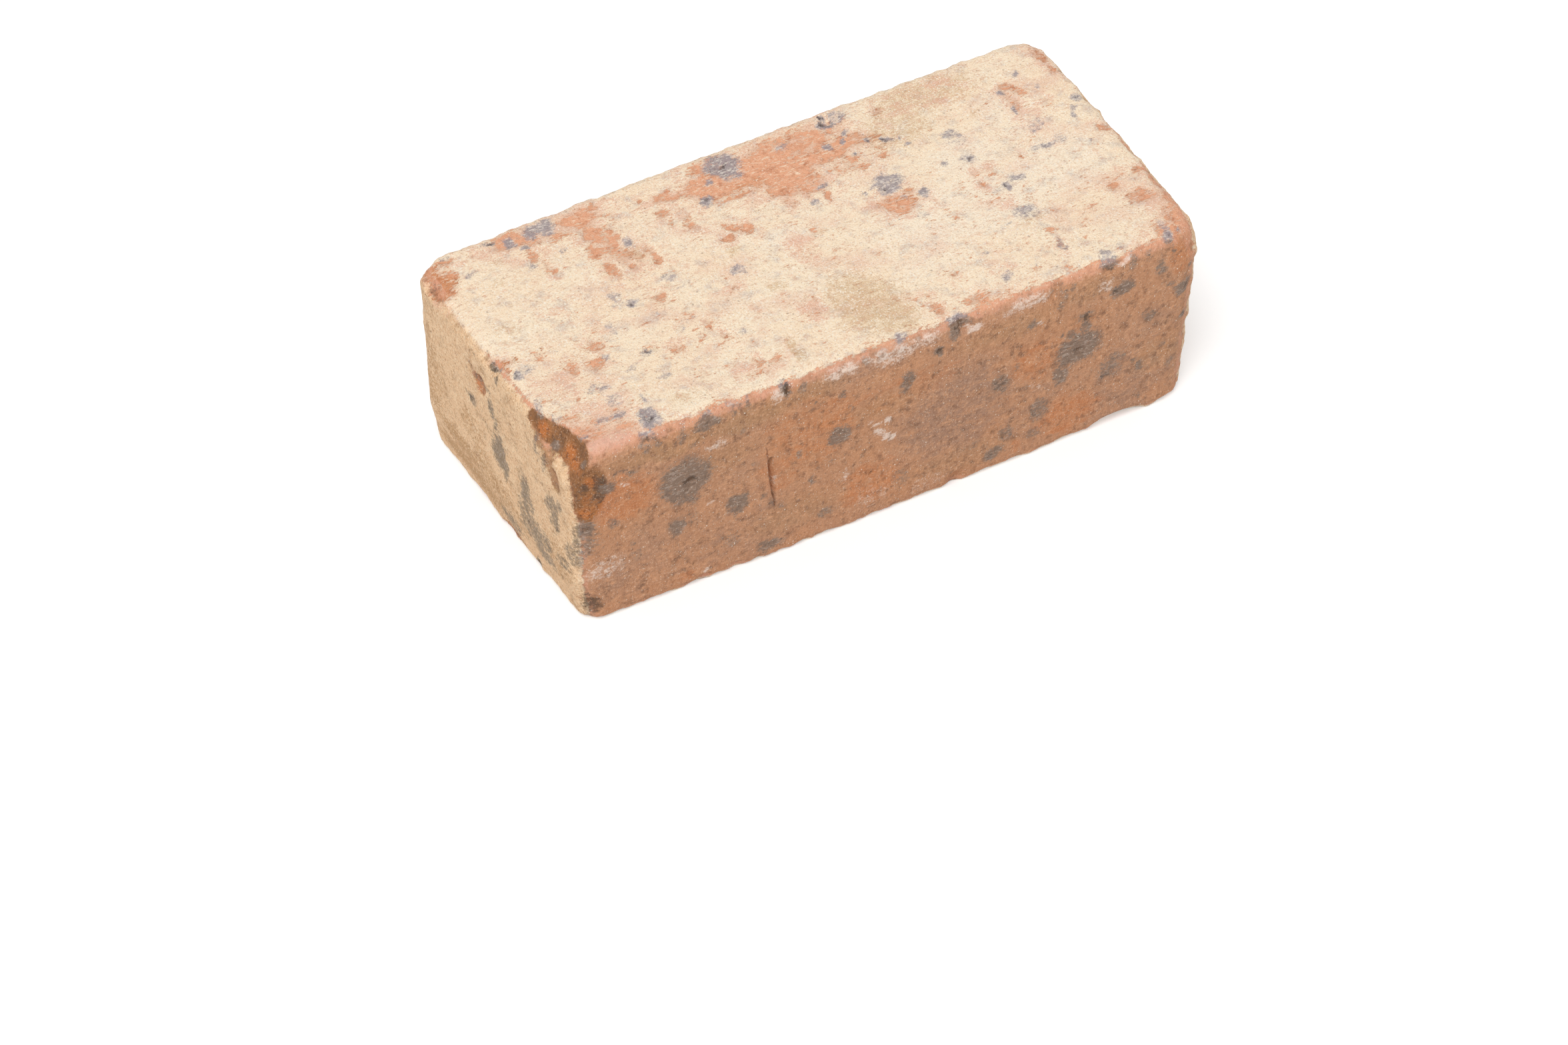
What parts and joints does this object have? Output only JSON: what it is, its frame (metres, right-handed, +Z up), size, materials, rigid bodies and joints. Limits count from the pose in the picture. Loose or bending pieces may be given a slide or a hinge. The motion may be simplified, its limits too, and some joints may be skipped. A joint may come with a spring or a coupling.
{
  "type": "clay brick",
  "caption": "Solid hand made clay brick with worn arrises, flat beds, a chipped corner, a drying crack and iron spots.",
  "frame": {"origin": "middle of the brick's overall box, at the bottom bed it lies on", "axes": "+X along the length, +Y from the spotted stretcher side to the back, +Z up from the bottom bed to the top bed"},
  "size_m": [0.2146, 0.1048, 0.0655],
  "materials": {
    "fired_clay": "matt sandy fired clay with a cream slip on the top bed, orange where the slip is worn off and grey iron spots"
  },
  "bodies": {
    "root": {"brick": "fired_clay"}
  },
  "joints": []
}
